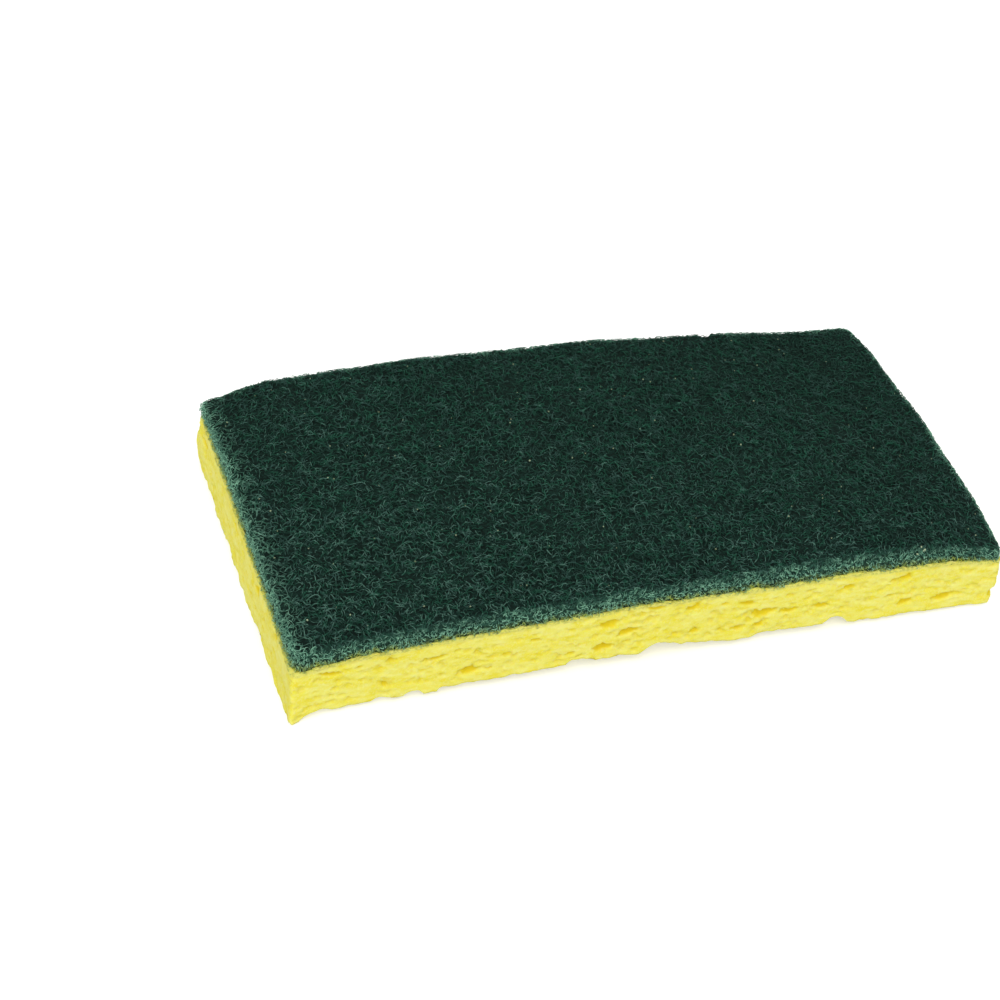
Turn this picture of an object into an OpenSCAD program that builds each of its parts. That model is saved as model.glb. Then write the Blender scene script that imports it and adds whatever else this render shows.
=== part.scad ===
// Cleaning sponge: a block of cellulose sponge with a scouring pad bonded to its top.
// The block is cut from a laminated slab, so both layers share one outline, apart from its corners:
// the pad's are worn round and the sponge's are nearly square.
// It lies with the pad up and bows slightly, so that it stands on a flat foot under each end.
// The origin is in the middle of the underside, at the level of the feet.

/* [Block] */
// Length of the block, along X
block_l = 158; // [140:1:176]
// Width of the block, along Y
block_w = 82; // [68:1:96]
// How far the middle of the block bows up above its ends
bow_h = 3.6; // [2.4:0.2:5]
// Length of the flat foot under each end
foot_l = 14; // [10:1:20]

/* [Sponge layer] */
// Thickness of the cellulose sponge
sponge_t = 13; // [10:0.5:18]
// Radius of the sponge's upright corners
sponge_corner_r = 1; // [0.5:0.5:4]

/* [Scouring pad] */
// Thickness of the scouring pad
pad_t = 5; // [3.5:0.5:8]
// Radius of the pad's upright corners
pad_corner_r = 2.5; // [1.5:0.5:5]
// Width of the bevel round the top rim of the pad
rim_w = 0.8; // [0.4:0.1:1.4]

/* [Pores in the cut sides] */
// Spacing of the side pores along a side
side_pitch = 7.2; // [6:0.2:12]
// Spacing of the rows of side pores, one above another
row_pitch = 4.6; // [4:0.2:7]
// Half length of the smallest side pore
side_pore_min = 0.9; // [0.6:0.1:1.2]
// Half length of the largest side pore
side_pore_max = 2.5; // [1.4:0.1:2.8]
// Height of a side pore for each unit of its length
side_pore_flat = 0.42; // [0.3:0.02:0.6]
// Share of the places along the sides that hold a pore
side_pore_share = 0.78; // [0.4:0.02:1]
// Scale of the large open pores in the front side
large_pore_size = 1; // [0.6:0.05:1.2]

/* [Pores in the underside] */
// Spacing of the pores in the underside
under_pitch = 10.4; // [9:0.2:16]
// Radius of the smallest pore mouth in the underside
under_pore_min = 0.8; // [0.6:0.1:1.2]
// Radius of the largest pore mouth in the underside
under_pore_max = 2.6; // [1.4:0.1:3]
// Depth of a pore in the underside for each unit of its mouth's radius
under_pore_depth = 0.6; // [0.4:0.05:0.8]

/* [Ragged lower edge] */
// Spacing of the small bites out of the lower edges
bite_pitch = 15; // [12:1:24]
// Half length of the smallest bite
bite_min = 1.2; // [0.8:0.1:1.6]
// Half length of the largest bite
bite_max = 3; // [2:0.1:3.6]
// Place of the deep bite in the front lower edge, from the middle
deep_bite_x = 42; // [30:1:50]
// Length of the deep bite
deep_bite_l = 6.4; // [4:0.2:8]
// Height of the deep bite
deep_bite_h = 1.9; // [1:0.1:2.4]
// Scale of the tear in the lower front corner on the right
torn_corner_size = 1; // [0.6:0.1:1.4]

/* [Pits in the pad] */
// Spacing of the open pits between the fibres on top of the pad
pit_pitch = 9; // [8:0.5:14]
// Radius of the smallest pit's mouth
pit_min = 0.8; // [0.5:0.1:1.2]
// Radius of the largest pit's mouth
pit_max = 2; // [1.3:0.1:2.6]
// Depth of a pit for each unit of its mouth's radius
pit_depth = 0.3; // [0.2:0.02:0.45]
// Place of the nick in the pad's back edge, from the middle
nick_x = 41.5; // [30:0.5:55]
// Radius of the nick
nick_r = 1; // [0.6:0.1:1.6]

/* [Hidden] */

half_l = block_l / 2;
half_w = block_w / 2;
block_t = sponge_t + pad_t;

// Extra reach of a cutting or limiting body past the block
clear = 10;
// Tallest body needed anywhere
full_h = block_t + bow_h + clear;
// How far a scattered place may leave its grid point, for each unit of the pitch
spread = 0.5;
// How far a side pore may rise or sink from its row
row_spread = 1.2;

// Large open pores in the front side: distance from the middle, height as a share of the
// sponge layer, half length, half height, and how far the right end rises, in degrees
LARGE_PORES = [
  [-71, 0.79, 2.4, 0.6, -12], [-49.6, 0.66, 2.5, 0.6, 10], [-40.4, 0.62, 0.9, 0.5, 0],
  [-34, 0.47, 1.3, 0.6, 5], [-28, 0.67, 1.4, 0.4, 0], [-12.2, 0.72, 2.3, 1.2, 0],
  [-7.5, 0.48, 2.7, 0.7, 12], [-2, 0.91, 2.1, 0.5, 0], [3.4, 0.28, 1.1, 0.5, 0],
  [18, 0.24, 1.7, 0.8, 5], [19, 0.74, 2.2, 0.6, -8], [23.4, 0.48, 2.8, 1.2, 5],
  [29.4, 0.42, 2.1, 0.6, 0], [33.5, 0.78, 1.2, 0.5, 0], [37, 0.39, 2, 0.6, -10],
  [53.7, 0.41, 1.6, 0.4, 0], [55.5, 0.77, 2.8, 0.7, 3], [67.2, 0.22, 2.7, 1.1, 10]
];

// Small bites out of the front lower edge, steep on the left: distance from the middle,
// half length, height, and how far they lean, in degrees
FRONT_BITES = [
  [-73, 4, 1.2, 8], [-59.6, 2.8, 0.8, 6], [-53, 2.2, 1.4, 12], [-46.8, 1.3, 0.8, 16],
  [-16.5, 4.4, 0.9, 8], [1.6, 5.2, 1.4, 8]
];
// How far the deep bite leans
DEEP_BITE_LEAN = 10;

// Scoops of the tear in the lower front corner on the right, the lowest first: radius,
// distance out from both faces, and height
TORN_SCOOPS = [[2.2, 0.6, 3.4], [2, 0.9, 7.2]];

// Radius of an arc with a given half chord and rise
function arc_r(half_chord, rise) = (half_chord * half_chord + rise * rise) / (2 * rise);

// Radius of the bow at the level of the ends, and of the arch between the feet
bow_r = arc_r(half_l, bow_h);
arch_r = arc_r(half_l - foot_l, bow_h);

// Height of the bowed layers at x, above their height at the ends
function bow_at(x) = sqrt(bow_r * bow_r - x * x) - (bow_r - bow_h);

// Height of the underside at x
function under_at(x) =
  abs(x) < half_l - foot_l ? sqrt(arch_r * arch_r - x * x) - (arch_r - bow_h) : 0;

// Slope of the underside at x, in degrees
function under_slope(x) = abs(x) < half_l - foot_l ? asin(-x / arch_r) : 0;

// A fixed number from 0 to 1 for each whole number n
function chance(n) = let (v = sin(n * 78.233 + 12.9898) * 43758.5453) v - floor(v);

// A fixed number between low and high for each whole number n
function between(low, high, n) = low + (high - low) * chance(n);

// A number near the small end of its range more often than near the large end
function mostly_small(low, high, n) = low + (high - low) * pow(chance(n), 1.6);

// Whether a pore of half length a at x and z on the front side keeps clear of the large ones
function off_large(x, z, a) =
  len([for (p = LARGE_PORES)
    if (abs(x - p[0]) < a + p[2] * large_pore_size + 0.6 && abs(z - p[1] * sponge_t) < 2.6) p]) == 0;

// Start numbers that keep the scattered patterns apart
FRONT = 0;
BACK = 1000;
LEFT = 2000;
RIGHT = 3000;
UNDER = 4000;
PITS = 6000;
BITES = 8000;

// Steps between the start numbers of one pattern's own values
SECOND = 300;
THIRD = 600;
FOURTH = 900;

// Outline of the block seen from above, with corners of radius r
module outline(r) {
  square([block_l - 2 * r, block_w], center = true);
  square([block_l, block_w - 2 * r], center = true);
  for (x = [-1, 1], y = [-1, 1])
    translate([x * (half_l - r), y * (half_w - r)])
      circle(r, $fn = 48);
}

// Everything under the bowed surface whose height at the ends is end_h.
// A rim_bevel over 0 bevels the surface along the long sides.
module under_bow(end_h, rim_bevel = 0) {
  r = bow_r + end_h;
  w = rim_bevel > 0 ? half_w : half_w + clear;
  translate([0, 0, bow_h - bow_r])
    rotate([90, 0, 0])
      rotate_extrude($fn = 720)
        polygon([[0, -w], [r - rim_bevel, -w], [r, -w + rim_bevel],
                 [r, w - rim_bevel], [r - rim_bevel, w], [0, w]]);
}

// The hollow between the feet
module arch() {
  translate([0, 0, bow_h - arch_r])
    rotate([90, 0, 0])
      cylinder(r = arch_r, h = block_w + 2 * clear, center = true, $fn = 720);
}

// Flat round pore: half length a, half height h
module lens(a, h) {
  r = arc_r(a, h);
  intersection() {
    translate([0, 0, r - h]) sphere(r, $fn = 48);
    translate([0, 0, h - r]) sphere(r, $fn = 48);
  }
}

// Shallow round pit with its mouth at the origin, cut down into whatever lies below it
module pit(mouth_r, depth) {
  r = arc_r(mouth_r, depth);
  translate([0, 0, r - depth]) sphere(r, $fn = 48);
}

// Pores along one cut side of the given length. The side lies along X, through the origin.
// turned is true on the short sides, which lie across the bow.
module side_pores(side_l, first, turned = false) {
  columns = floor((side_l - side_pitch) / side_pitch);
  rows = floor((sponge_t - row_pitch) / row_pitch) + 1;
  for (c = [0 : columns], row = [0 : rows - 1]) {
    n = first + c * rows + row;
    a = mostly_small(side_pore_min, side_pore_max, n + SECOND);
    x = (c - columns / 2) * side_pitch + spread * side_pitch * (chance(n) - 0.5);
    z = (row + 0.5) * sponge_t / rows + row_spread * (chance(n + THIRD) - 0.5);
    if (chance(n + FOURTH) < side_pore_share && (first != FRONT || off_large(x, z, a)))
      translate([x, 0, z + (turned ? 0 : bow_at(x))])
        rotate([0, 16 * (chance(n + FOURTH) - 0.5), 0])
          lens(a, a * side_pore_flat);
  }
}

// The large pores that the front side is best known by
module large_pores() {
  for (p = LARGE_PORES)
    translate([p[0], 0, p[1] * sponge_t + bow_at(p[0])])
      rotate([0, -p[4], 0])
        lens(p[2] * large_pore_size, p[3] * large_pore_size);
}

// Pores all round the cut sides of the sponge layer
module all_side_pores() {
  translate([0, -half_w, 0]) side_pores(block_l, FRONT);
  translate([0, -half_w, 0]) large_pores();
  translate([0, half_w, 0]) side_pores(block_l, BACK);
  translate([-half_l, 0, 0]) rotate(90) side_pores(block_w, LEFT, true);
  translate([half_l, 0, 0]) rotate(90) side_pores(block_w, RIGHT, true);
}

// Pores in the underside, on a jittered grid that follows the arch.
// None lies across the line where a foot meets the arch.
module under_pores() {
  columns = floor((block_l - under_pitch) / under_pitch);
  rows = floor((block_w - under_pitch) / under_pitch);
  for (c = [0 : columns], row = [0 : rows]) {
    n = UNDER + c * (rows + 1) + row;
    a = mostly_small(under_pore_min, under_pore_max, n + SECOND);
    x = (c - columns / 2) * under_pitch + spread * under_pitch * (chance(n) - 0.5);
    y = (row - rows / 2) * under_pitch + spread * under_pitch * (chance(n + THIRD) - 0.5);
    if (abs(abs(x) - (half_l - foot_l)) > a + 1)
      translate([x, y, under_at(x)])
        rotate([180, 0, 0])
          pit(a, a * under_pore_depth);
  }
}

// Small bites that make one of the other lower edges ragged. The edge lies along X, through the
// origin.
module edge_bites(edge_l, first, turned = false) {
  places = floor((edge_l - bite_pitch) / bite_pitch);
  for (i = [0 : places]) {
    n = first + i;
    a = between(bite_min, bite_max, n + SECOND);
    x = (i - places / 2) * bite_pitch + spread * bite_pitch * (chance(n) - 0.5);
    translate([x, 0, turned ? 0 : under_at(x)])
      lens(a, a * side_pore_flat);
  }
}

// A bite in the front lower edge at x, steep on the left: half length a and height h.
// Its left tip lies in the underside and its right end leans down out of the block.
module leaning_bite(x, a, h, lean) {
  drop = a * sin(lean);
  translate([x, -half_w, under_at(x)])
    rotate([0, -under_slope(x), 0])
      translate([0, 0, -drop])
        rotate([0, lean, 0])
          lens(a, h + drop);
}

module front_bites() {
  for (b = FRONT_BITES)
    leaning_bite(b[0], b[1], b[2], b[3]);
  leaning_bite(deep_bite_x, deep_bite_l / 2, deep_bite_h, DEEP_BITE_LEAN);
}

// The tear in the lower front corner on the right
module torn_corner() {
  for (s = TORN_SCOOPS * torn_corner_size)
    translate([half_l + s[1], -half_w - s[1], s[2]])
      sphere(s[0], $fn = 48);
}

module all_bites() {
  front_bites();
  translate([0, half_w, 0]) edge_bites(block_l, BITES + 20);
  translate([-half_l, 0, 0]) rotate(90) edge_bites(block_w, BITES + 40, true);
  translate([half_l, 0, 0]) rotate(90) edge_bites(block_w, BITES + 60, true);
  torn_corner();
}

// Bevels along the short sides of the pad's top rim
module end_bevels() {
  for (side = [-1, 1])
    translate([side * half_l, 0, block_t])
      rotate([0, side * 45, 0])
        cube([rim_w * sqrt(2), block_w + 2 * clear, rim_w * sqrt(2)], center = true);
}

// Open pits between the fibres on top of the pad
module pad_pits() {
  columns = floor((block_l - pit_pitch) / pit_pitch);
  rows = floor((block_w - pit_pitch) / pit_pitch);
  for (c = [0 : columns], row = [0 : rows]) {
    n = PITS + c * (rows + 1) + row;
    a = mostly_small(pit_min, pit_max, n + SECOND);
    x = (c - columns / 2) * pit_pitch + spread * pit_pitch * (chance(n) - 0.5);
    y = (row - rows / 2) * pit_pitch + spread * pit_pitch * (chance(n + THIRD) - 0.5);
    translate([x, y, block_t + bow_at(x)])
      pit(a, a * pit_depth);
  }
}

// The nick in the pad's back edge
module nick() {
  translate([nick_x, half_w + nick_r / 3, 0])
    cylinder(r = nick_r, h = full_h, $fn = 32);
}

// The sponge layer as it is cut from the slab, bowed and standing on its feet
module sponge_layer() {
  difference() {
    intersection() {
      linear_extrude(full_h) outline(sponge_corner_r);
      under_bow(sponge_t);
    }
    arch();
  }
}

module open_underside() {
  difference() {
    sponge_layer();
    under_pores();
  }
}

module open_sides() {
  difference() {
    open_underside();
    all_side_pores();
  }
}

module cellulose_sponge() {
  color([0.96, 0.89, 0.27])
    difference() {
      open_sides();
      all_bites();
    }
}

module scouring_pad() {
  color([0.08, 0.24, 0.2])
    difference() {
      intersection() {
        linear_extrude(full_h) outline(pad_corner_r);
        under_bow(block_t, rim_w);
      }
      under_bow(sponge_t);
      end_bevels();
      pad_pits();
      nick();
    }
}

cellulose_sponge();
scouring_pad();
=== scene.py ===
import math

import bmesh
import bpy
import numpy as np
from mathutils import Matrix, Vector, noise


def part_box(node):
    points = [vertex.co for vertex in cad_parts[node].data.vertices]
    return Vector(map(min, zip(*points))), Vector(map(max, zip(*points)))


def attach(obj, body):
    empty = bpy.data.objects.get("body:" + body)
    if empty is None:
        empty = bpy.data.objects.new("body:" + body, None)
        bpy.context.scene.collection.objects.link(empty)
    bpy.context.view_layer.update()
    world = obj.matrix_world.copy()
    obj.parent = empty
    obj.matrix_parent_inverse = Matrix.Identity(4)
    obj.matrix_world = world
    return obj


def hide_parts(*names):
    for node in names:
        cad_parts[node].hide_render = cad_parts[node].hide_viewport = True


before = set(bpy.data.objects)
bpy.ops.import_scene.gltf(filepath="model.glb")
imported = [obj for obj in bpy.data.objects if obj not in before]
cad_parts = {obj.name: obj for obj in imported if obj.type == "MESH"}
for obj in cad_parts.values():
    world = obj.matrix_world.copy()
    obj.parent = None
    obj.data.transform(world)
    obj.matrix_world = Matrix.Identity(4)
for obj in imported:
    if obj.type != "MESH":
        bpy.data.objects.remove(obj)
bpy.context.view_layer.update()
mm = 0.001

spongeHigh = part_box("cellulose_sponge")[1]
halfLength = spongeHigh.x
halfWidth = spongeHigh.y
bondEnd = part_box("scouring_pad")[0].z            # height of the bond line at the two ends

block = {
    "spongeThick": 13.0 * mm,
    "padThick": 5.0 * mm,
    "bow": 3.6 * mm,                             # rise of the middle above the ends
    "footLength": 14.0 * mm,
    "spongeCorner": 1.0 * mm,
    "padCorner": 2.5 * mm,
    "nearCorners": (3.1 * mm, 1.6 * mm),         # the pad's two front corners, left and right
    "fray": 1.15 * mm,                           # unevenness of the bond line
    "frayRise": 0.15 * mm,                       # by which the sponge's upper edge stands over it
    # pulls that give the block its uneven lie, in mm: middle along and across, reach along and
    # across, shift, and the shares of the shift from the underside by the bond line to the top
    "lie": [
        ((-56, 41), (17, 45), (0, 0, 1.9), (1, 1, 1)),
        ((-22, 41), (30, 40), (0, 0, 1.3), (1, 1, 1)),
        ((62, 41), (22, 40), (0, 0, -1.5), (1, 1, 1)),
        ((-10, -41), (35, 30), (0, 0, -0.7), (1, 1, 1)),
        ((53, -41), (16, 35), (0, 0, 1.5), (0, 1, 1)),
        ((-67, -41), (9, 18), (0, 0, 1.2), (1, 0, 0)),
        ((68, -41), (16, 14), (0, 0, 1.1), (1, 0, 0)),
        ((-67, 41), (7, 20), (0, 0, 0.9), (0, 0.5, 1)),
        ((-31, 41), (9, 20), (0, 0, 0.6), (0, 0.5, 1)),
        ((12, 41), (9, 20), (0, 0, 0.6), (0, 0.5, 1)),
        ((50, 41), (12, 20), (0, 0, 0.5), (0, 0.5, 1)),
        ((79, 32), (12, 6), (0.5, 0, 0), (0, 0, 1)),
        ((79, 28), (14, 16), (2.4, 0, 0), (0.5, 1, 1)),
        ((79, 4), (16, 15), (2.7, 0, 0), (0.3, 0.6, 1)),
        ((79, -22), (14, 16), (1.4, 0, 0), (0.3, 0.8, 1)),
        ((79, -41), (12, 14), (0, 0, -1.6), (0, 0, 1)),
        ((79, -41), (6, 6), (0.5, -0.2, 0), (1.8, 2.4, 0.6, 0.1, -0.9)),
        ((-79, 41), (8, 10), (0, 0, -1.2), (0, 0, 1)),
        ((-79, 41), (4, 4), (0, 0.7, 0), (0.2, 1, 1)),
        ((-79, 40), (6, 7), (-1, 0, 0), (0.2, 1, 0.1, 0.4, 0.7)),
        ((-79, 0), (10, 60), (-0.55, 0, 0), (1, 0.2, 0)),
        ((-79, -41), (6, 6), (0, -1.3, 0), (1, 0, 0)),
        ((-79, -41), (1.8, 1.8), (-0.1, -0.6, 0), (1, 0, 0)),
        ((21, -41), (9, 30), (0, 0, -1.1), (1, 0.2, 0)),
        ((48, -41), (5, 20), (0, 0, -0.6), (1, 0, 0)),
        ((53, -41), (10, 12), (0, 0, -1.2), (0, 1, 0)),
        ((30, -41), (13, 12), (0, 0, -0.3), (0, 1, 0)),
        ((-78, -41), (5, 6), (0, 0, -0.8), (0, 1, 0.3)),
        ((-79, 0), (6, 36), (0, 0, 0.3), (0, 1, 0)),
        ((-8, -41), (5, 12), (0, 0, 0.6), (0, 1, 0)),
    ],
}

bowRadius = (halfLength ** 2 + block["bow"] ** 2) / (2 * block["bow"])
archSpan = halfLength - block["footLength"]
archRadius = (archSpan ** 2 + block["bow"] ** 2) / (2 * block["bow"])


def bowAt(x):
    return np.sqrt(bowRadius ** 2 - np.minimum(np.abs(x), halfLength) ** 2) - (bowRadius - block["bow"])


def underAt(x):
    near = np.minimum(np.abs(x), archSpan)
    return np.sqrt(archRadius ** 2 - near ** 2) - (archRadius - block["bow"])


def bondAt(x):
    return bowAt(x) + bondEnd


def padTopAt(x):
    return bondAt(x) + block["padThick"]


def settle(co):                                  # lays the points as the worn block lies
    x, y = co[:, 0] / mm, co[:, 1] / mm
    low, bond = underAt(co[:, 0]), bondAt(co[:, 0])
    level = np.clip((co[:, 2] - low) / (bond - low), 0, 1)
    level += np.clip((co[:, 2] - bond) / block["padThick"], 0, 1)
    under = low                                  # height of the underside below each point
    for (cx, cy), (rx, ry), shift, shares in block["lie"]:
        share = np.interp(level, np.linspace(0, 2, len(shares)), shares)
        swell = np.exp(-((x - cx) / rx) ** 2 - ((y - cy) / ry) ** 2)
        co = co + (swell * share)[:, None] * np.array(shift) * mm
        under = under + swell * shares[0] * shift[2] * mm
    co[:, 2] += np.maximum(-under, 0) * np.clip(1 - level, 0, 1)    # pressed flat, not sunk in
    co[:, 2] = np.maximum(co[:, 2], 0)
    return co


def chance(n):                                   # the same fixed numbers as the solids' pores have
    value = math.sin(math.radians(n * 78.233 + 12.9898)) * 43758.5453
    return value - math.floor(value)


def noiseAt(co, scale, seed, stretch=(1, 1, 1)):
    points = co * (np.array(stretch) * scale) + seed
    return np.array([noise.noise(p) for p in points.tolist()])


def rampUp(value, low, high):                    # 0 below low, 1 above high
    return np.clip((value - low) / (high - low), 0, 1)


def flatPoints(xy):                              # the same places with a height of 0
    return np.concatenate([xy.reshape(-1, 2), np.zeros((xy.size // 2, 1))], 1)


def coordsOf(mesh):
    co = np.empty(len(mesh.vertices) * 3, np.float32)
    mesh.vertices.foreach_get("co", co)
    return co.reshape(-1, 3).astype(float)


def setCoords(mesh, co):
    mesh.vertices.foreach_set("co", co.astype(np.float32).ravel())
    mesh.update()


def addLayer(mesh, name, values):                # a number for each point, for the materials
    layer = mesh.attributes.new(name, "FLOAT", "POINT")
    layer.data.foreach_set("value", values.astype(np.float32))


def meshFrom(bm, name):
    mesh = bpy.data.meshes.new(name)
    bm.to_mesh(mesh)
    bm.free()
    return mesh


def newObject(name, data):
    made = bpy.data.objects.new(name, data)
    bpy.context.scene.collection.objects.link(made)
    return made


def finishPiece(piece):
    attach(piece, "root")
    piece.data.shade_smooth()
    print(piece.name, len(piece.data.polygons), "faces")


def standFor(piece, node):
    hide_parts(node)
    finishPiece(piece)


def gridBlock(counts, refine):                   # a cube cut into a grid, its four sides cut finer
    bm = bmesh.new()
    bmesh.ops.create_cube(bm, size=2)
    for axis, count in enumerate(counts):
        along = [e for e in bm.edges if abs(e.verts[0].co[axis] - e.verts[1].co[axis]) > 1e-6]
        bmesh.ops.subdivide_edges(bm, edges=along, cuts=count - 1, use_grid_fill=True)
    sides = [e for e in bm.edges if any(
        all(abs(abs(v.co[axis]) - 1) < 1e-6 for v in e.verts)
        and e.verts[0].co[axis] * e.verts[1].co[axis] > 0 for axis in (0, 1))]
    bmesh.ops.subdivide_edges(bm, edges=sides, cuts=refine, use_grid_fill=True)
    return bm


def unfold(bm):                                  # one chart for each face of the block
    layer = bm.loops.layers.uv.new("OFBake")
    for face in bm.faces:
        n = face.normal
        side = max(range(3), key=lambda i: abs(n[i]))
        for loop in face.loops:
            u, v, w = loop.vert.co
            if side == 2:
                place = (0.25 + 0.24 * u, (0.3 if n.z > 0 else 0.77) + 0.21 * v)
            elif side == 1:
                place = (0.75 + 0.24 * u, (0.12 if n.y > 0 else 0.34) + 0.09 * w)
            else:
                place = (0.75 + 0.24 * v, (0.56 if n.x > 0 else 0.78) + 0.09 * w)
            loop[layer].uv = place


def layerMesh(name, step, rows, refine):         # the plain layer from -1 to 1 each way
    bm = gridBlock([round(2 * halfLength / step), round(2 * halfWidth / step), rows], refine)
    unfold(bm)
    return meshFrom(bm, name)


def padRadius(x, y, less):                       # of the pad's nearest corner, less an inset
    return np.where(y > 0, block["padCorner"], np.where(x < 0, *block["nearCorners"])) - less


def roundCorners(x, y, inset, radius):           # squares off at the sides, round at the corners
    length, width = halfLength - inset, halfWidth - inset
    x, y = x * length, y * width
    a = np.maximum(np.abs(x) - (length - radius), 0)
    b = np.maximum(np.abs(y) - (width - radius), 0)
    pull = np.maximum(a, b) / np.maximum(np.hypot(a, b), 1e-9)
    inCorner = (a > 0) & (b > 0)
    x = np.where(inCorner, np.sign(x) * (length - radius + a * pull), x)
    y = np.where(inCorner, np.sign(y) * (width - radius + b * pull), y)
    return x, y


def outside(xy, inset, radius):                  # distance from a round-cornered outline, and the way out
    size = np.array((halfLength, halfWidth)) - inset
    q = np.abs(xy) - (size - np.broadcast_to(radius, xy.shape[:-1])[..., None])
    corner = (q > 0).all(-1)
    across = np.where(corner, q[..., 0], q[..., 0] > q[..., 1])
    along = np.where(corner, q[..., 1], q[..., 0] <= q[..., 1])
    way = np.stack([across, along], -1)
    way = way / np.linalg.norm(way, axis=-1, keepdims=True) * np.where(xy < 0, -1, 1)
    far = np.linalg.norm(np.maximum(q, 0), axis=-1) + np.minimum(q.max(-1), 0) - radius
    return far, way


def frayAt(xy):                                  # rise of the ragged bond line at each place
    place = flatPoints(xy)
    fray = noiseAt(place, 260, 4.4) + 0.8 * noiseAt(place, 620, 9.2) + 0.5 * noiseAt(place, 1500, 2.7)
    return fray.reshape(xy.shape[:-1]) * block["fray"]


def scattered(pitch, sizes, first):              # loose rows over the block: place and half length
    columns = math.floor((2 * halfLength / mm - pitch) / pitch)
    rows = math.floor((2 * halfWidth / mm - pitch) / pitch)
    for c in range(columns + 1):
        for row in range(rows + 1):
            n = first + c * (rows + 1) + row
            a = sizes[0] + np.ptp(sizes) * chance(n + 300) ** 1.6
            x = (c - columns / 2) * pitch + 0.5 * pitch * (chance(n) - 0.5)
            y = (row - rows / 2) * pitch + 0.5 * pitch * (chance(n + 600) - 0.5)
            yield x * mm, y * mm, a * mm


sponge = {                                       # in mm, but for the grid, the skin and the shares
    "gridStep": 1.0 * mm,
    "sideCuts": 2,                               # more cuts in each grid step on the sides
    "sidePitch": 7.2,
    "rowPitch": 4.6,
    "poreRange": (0.9, 2.5),
    "poreFlat": 0.42,
    "poreShare": 0.78,
    "poreDeep": 0.55,                            # the depths are shares of the half length
    "largeDeep": 0.5,
    "fineDeep": 0.28,
    "underPitch": 10.4,
    "underRange": (0.8, 2.6),
    "underDeep": 0.6,
    "bitePitch": 15,
    "biteRange": (1.2, 3.0),
    "biteFade": 1.5,                             # height over which a bite dies out
    # place, half length, height and lean; the last is the deep one
    "frontBites": [
        (-73, 4, 1.2, 8), (-59.6, 2.8, 0.8, 6), (-53, 2.2, 1.4, 12), (-46.8, 1.3, 0.8, 16),
        (-16.5, 4.4, 0.9, 8), (1.6, 5.2, 1.4, 8), (42, 3.2, 1.9, 10)],
    "tornScoops": [(2.2, 0.6, 3.4), (2, 0.9, 7.2)],  # radius, distance out, height
    "finePores": 3200,
    "fineRange": (0.35, 1.2),
    "largePores": [                              # place, share of height, half length, half height, rise
        (-71, 0.79, 2.4, 0.6, -12), (-49.6, 0.66, 2.5, 0.6, 10), (-40.4, 0.62, 0.9, 0.5, 0),
        (-34, 0.47, 1.3, 0.6, 5), (-28, 0.67, 1.4, 0.4, 0), (-12.2, 0.72, 2.3, 1.2, 0),
        (-7.5, 0.48, 2.7, 0.7, 12), (-2, 0.91, 2.1, 0.5, 0), (3.4, 0.28, 1.1, 0.5, 0),
        (18, 0.24, 1.7, 0.8, 5), (19, 0.74, 2.2, 0.6, -8), (23.4, 0.48, 2.8, 1.2, 5),
        (29.4, 0.42, 2.1, 0.6, 0), (33.5, 0.78, 1.2, 0.5, 0), (37, 0.39, 2, 0.6, -10),
        (53.7, 0.41, 1.6, 0.4, 0), (55.5, 0.77, 2.8, 0.7, 3), (67.2, 0.22, 2.7, 1.1, 10)],
    "edgeWear": 1.3 * mm,                        # reach of the wear from the lower edge
    "sharpCorner": 4 * mm,                       # reach of the unworn tip at the near left corner
    "bondReach": 0.9 * mm,                       # depth of the band under the pad that is painted paler, a painted highlight, and tinted olive, partly stain and partly painted shade
}

sides = {                                        # along, outwards, distance out, half length, first number
    "front": ((1, 0, 0), (0, -1, 0), halfWidth, halfLength, 0),
    "back": ((1, 0, 0), (0, 1, 0), halfWidth, halfLength, 1000),
    "left": ((0, 1, 0), (-1, 0, 0), halfLength, halfWidth, 2000),
    "right": ((0, 1, 0), (1, 0, 0), halfLength, halfWidth, 3000),
}
flatAxes = ((1, 0, 0), (0, 0, 1), (0, 1, 0))     # of hollows in the top and the underside


def hollowOut(co, depth, chosen, centre, axes, radii, ripple):
    # points inside the egg round the centre move straight out to its wall
    offset = co[chosen] - centre
    near = np.abs(offset).max(1) < max(radii) * 1.3
    chosen, offset = chosen[near], offset[near]
    if not len(chosen):
        return
    local = offset @ np.array(axes).T / np.array(radii)
    angle = np.arctan2(local[:, 2], local[:, 0])
    wave = 1 + ripple * (np.sin(3 * angle + centre[0] * 5000) + 0.7 * np.sin(5 * angle + centre[2] * 9000))
    reach = np.maximum(np.linalg.norm(local, axis=1) * wave, 1e-6)
    inside = reach < 1
    moved = offset[inside] * (1 / reach[inside] - 1)[:, None]
    co[chosen[inside]] += moved
    depth[chosen[inside]] += np.linalg.norm(moved, axis=1)


def sidePore(co, depth, chosen, side, x, z, halfL, halfH, deep, tilt, ripple=0.12):
    # a soft hollow, steep under its upper lip and easy towards the lower one
    along, out, distance, _, _ = side
    along, out = np.array(along, float), np.array(out, float)
    offset = co[chosen] - (along * x + out * distance)
    u, v = offset @ along, offset[:, 2] - z
    near = (np.abs(u) < halfL * 1.5) & (np.abs(v) < halfL * 1.5)
    chosen, u, v = chosen[near], u[near], v[near]
    c, s = math.cos(tilt), math.sin(tilt)
    u, v = (u * c - v * s) / halfL, (u * s + v * c) / halfH
    angle = np.arctan2(v, u)
    wave = 1 + ripple * (np.sin(3 * angle + x * 5000) + 0.7 * np.sin(5 * angle + z * 9000))
    bowl = np.clip(1 - (np.hypot(u, v) * wave) ** 2, 0, 1) ** np.where(v > 0, 0.55, 1.15)
    bowl *= (1 + 0.35 * np.clip(v, -1, 1)) * deep * halfL
    co[chosen] -= out * bowl[:, None]
    co[chosen, 2] += 0.3 * halfH / (deep * halfL) * bowl * (v > 0)
    depth[chosen] = np.maximum(depth[chosen], bowl)


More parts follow.
